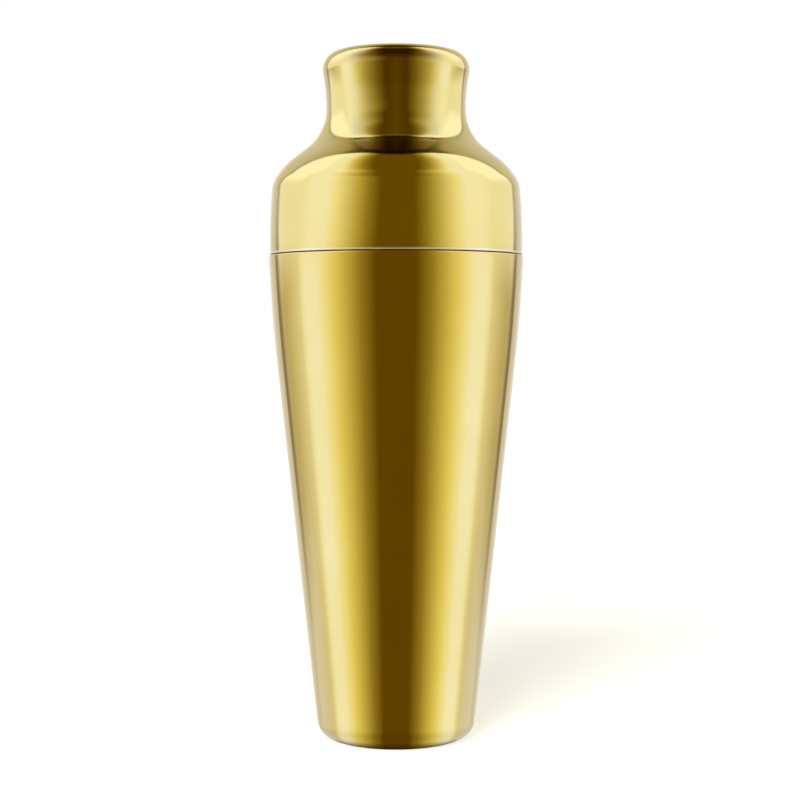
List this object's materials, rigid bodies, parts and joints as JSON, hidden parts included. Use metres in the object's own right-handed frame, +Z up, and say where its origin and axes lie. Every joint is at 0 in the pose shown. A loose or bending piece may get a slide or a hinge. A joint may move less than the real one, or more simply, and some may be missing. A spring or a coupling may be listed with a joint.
{
  "type": "cocktail shaker",
  "caption": "Two-piece Parisian cocktail shaker: a tapered tin and a waisted cap that plugs into its mouth, in mirror-polished gold-coloured steel.",
  "frame": {"origin": "on the axis, in the plane that the foot ring rests on", "axes": "+Z up along the axis from the foot to the cap; turned all round Z, so X and Y are free"},
  "size_m": [0.088, 0.088, 0.237],
  "materials": {
    "gold_sheet": "mirror-polished gold-coloured coating on stainless steel",
    "gold_satin": "turned satin, gold-coloured coating on stainless steel",
    "weight_steel": "plain bright steel"
  },
  "bodies": {
    "tin": {"tin_shell": "gold_sheet", "tin_base_weight": "weight_steel", "tin_base_cover": "gold_sheet"},
    "cap": {"cap_shell": "gold_sheet", "cap_crown": "gold_satin", "cap_collar": "gold_satin"}
  },
  "joints": [
    {"name": "cap_lift", "type": "slide", "parent": "tin", "child": "cap", "axis": [0, 0, 1], "range_m": [0, 0.04]}
  ]
}
